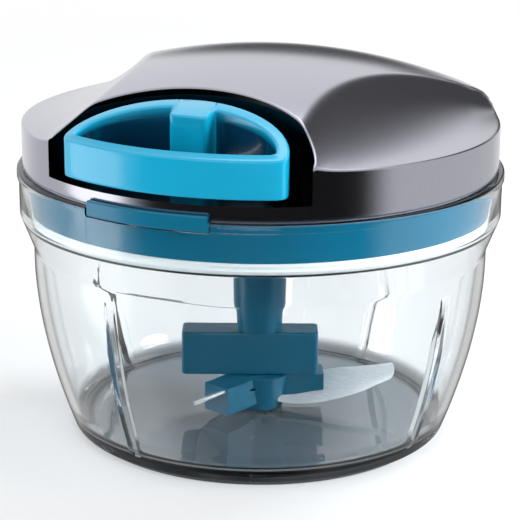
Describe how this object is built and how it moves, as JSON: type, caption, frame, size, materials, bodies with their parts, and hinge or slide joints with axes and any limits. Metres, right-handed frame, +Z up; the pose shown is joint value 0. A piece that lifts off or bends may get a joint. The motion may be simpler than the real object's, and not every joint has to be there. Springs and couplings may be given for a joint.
{
  "type": "pull-string food chopper",
  "caption": "Hand-powered chopper: a clear bowl with spinning blades on a pin, driven through a grey domed lid by pulling a teal handle on a cord.",
  "frame": {"origin": "middle of the round foot, on the surface it stands on", "axes": "+Z up along the blades' axis; the pull handle faces -Y; +X to the right of someone facing the handle"},
  "size_m": [0.125, 0.1249, 0.099],
  "materials": {
    "clear_plastic": "clear polished plastic",
    "grey_rubber": "matte rubber",
    "steel": "brushed",
    "blade_steel": "polished",
    "dark_teal_plastic": "satin",
    "teal_plastic": "gloss",
    "white_rubber": "soft silicone",
    "pale_grey_plastic": "satin",
    "bright_teal_plastic": "gloss",
    "white_cord": "braided",
    "white_plastic": "matte",
    "brass": "turned"
  },
  "bodies": {
    "bowl": {"bowl": "clear_plastic", "anti_slip_pad": "grey_rubber", "pivot_pin": "steel"},
    "blade_unit": {"blade_column": "dark_teal_plastic", "lower_hub": "dark_teal_plastic", "pivot_bush": "brass", "right_blade": "blade_steel", "left_blade": "blade_steel", "upper_blade": "blade_steel"},
    "lid": {"lid_base": "teal_plastic", "lid_gasket": "white_rubber", "top_cover": "pale_grey_plastic", "case_screws": "steel", "cord_eyelet": "white_plastic", "drum_axle": "steel", "axle_clip": "steel", "spring_arbor": "white_plastic", "recoil_spring": "steel", "spindle_bush": "brass"},
    "drum": {"cord_drum": "white_plastic", "cord_winding": "white_cord", "spring_cover": "white_plastic", "pawl_pins": "steel"},
    "first_pawl": {"first_pawl": "white_plastic"},
    "second_pawl": {"second_pawl": "white_plastic"},
    "spindle": {"drive_spindle": "white_plastic", "thrust_washer": "steel", "spindle_clip": "steel"},
    "handle": {"pull_handle": "bright_teal_plastic", "cord_knot": "white_cord", "pull_cord": "white_cord"}
  },
  "joints": [
    {"name": "lid_lift", "type": "slide", "parent": "bowl", "child": "lid", "axis": [0, 0, 1], "range_m": [0, 0.08]},
    {"name": "handle_pull", "type": "slide", "parent": "lid", "child": "handle", "axis": [0, -1, 0], "range_m": [0, 0.39], "stiffness_N_per_m": 10, "springref_m": -0.2, "deforming": ["pull_cord"]},
    {"name": "drum_spin", "type": "hinge", "parent": "lid", "child": "drum", "pos_m": [0, 0, 0.08], "axis": [0, 0, 1], "range_deg": [-1410, 0], "deforming": ["recoil_spring"]},
    {"name": "spindle_spin", "type": "hinge", "parent": "lid", "child": "spindle", "pos_m": [0, 0, 0.07], "axis": [0, 0, 1], "range_deg": [-1410, 0]},
    {"name": "blade_spin", "type": "hinge", "parent": "bowl", "child": "blade_unit", "pos_m": [0, 0, 0.02], "axis": [0, 0, 1], "range_deg": [-1410, 0]},
    {"name": "first_pawl_swing", "type": "hinge", "parent": "drum", "child": "first_pawl", "pos_m": [0.01285, 0.01331, 0.0705], "axis": [0, 0, 1], "range_deg": [0, 14], "stiffness_Nm_per_rad": 0.0005},
    {"name": "second_pawl_swing", "type": "hinge", "parent": "drum", "child": "second_pawl", "pos_m": [-0.01285, -0.01331, 0.0705], "axis": [0, 0, 1], "range_deg": [0, 14], "stiffness_Nm_per_rad": 0.0005}
  ],
  "couplings": [
    {"joint": "drum_spin", "follows": "handle_pull", "rad_per_m": -62.893},
    {"joint": "spindle_spin", "follows": "handle_pull", "rad_per_m": -62.893},
    {"joint": "blade_spin", "follows": "handle_pull", "rad_per_m": -62.893},
    {"joint": "second_pawl_swing", "follows": "first_pawl_swing", "ratio": 1}
  ]
}
